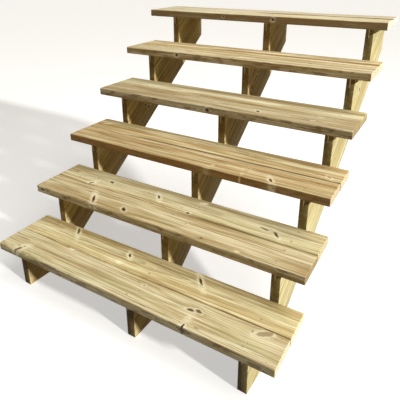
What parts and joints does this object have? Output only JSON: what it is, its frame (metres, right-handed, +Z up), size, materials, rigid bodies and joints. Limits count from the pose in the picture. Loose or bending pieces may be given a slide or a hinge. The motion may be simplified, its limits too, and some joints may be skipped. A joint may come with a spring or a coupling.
{
  "type": "wooden deck stairs",
  "caption": "Straight open-riser timber deck stairs with paired-board treads on notched stringers, plumb-cut at the top to fasten to a deck.",
  "frame": {"origin": "centre of the middle stringer's plumb-cut top face, where the stair meets the deck", "axes": "+X to the right of someone climbing, +Y in the climbing direction, square out of the plumb cuts towards the deck, +Z up"},
  "size_m": [1.37, 1.554, 1.175],
  "materials": {
    "tread_board": "pressure-treated softwood, planed, straw coloured with darker growth rings and knots",
    "stringer_board": "pressure-treated softwood, sawn cuts, pale cream",
    "screw": "coated countersunk deck screws"
  },
  "bodies": {
    "root": {"tread_1_front": "tread_board", "tread_1_rear": "tread_board", "tread_2_front": "tread_board", "tread_2_rear": "tread_board", "tread_3_front": "tread_board", "tread_3_rear": "tread_board", "tread_4_front": "tread_board", "tread_4_rear": "tread_board", "tread_5_front": "tread_board", "tread_5_rear": "tread_board", "tread_6_front": "tread_board", "tread_6_rear": "tread_board", "stringer_left": "stringer_board", "stringer_middle": "stringer_board", "stringer_right": "stringer_board"}
  },
  "joints": []
}
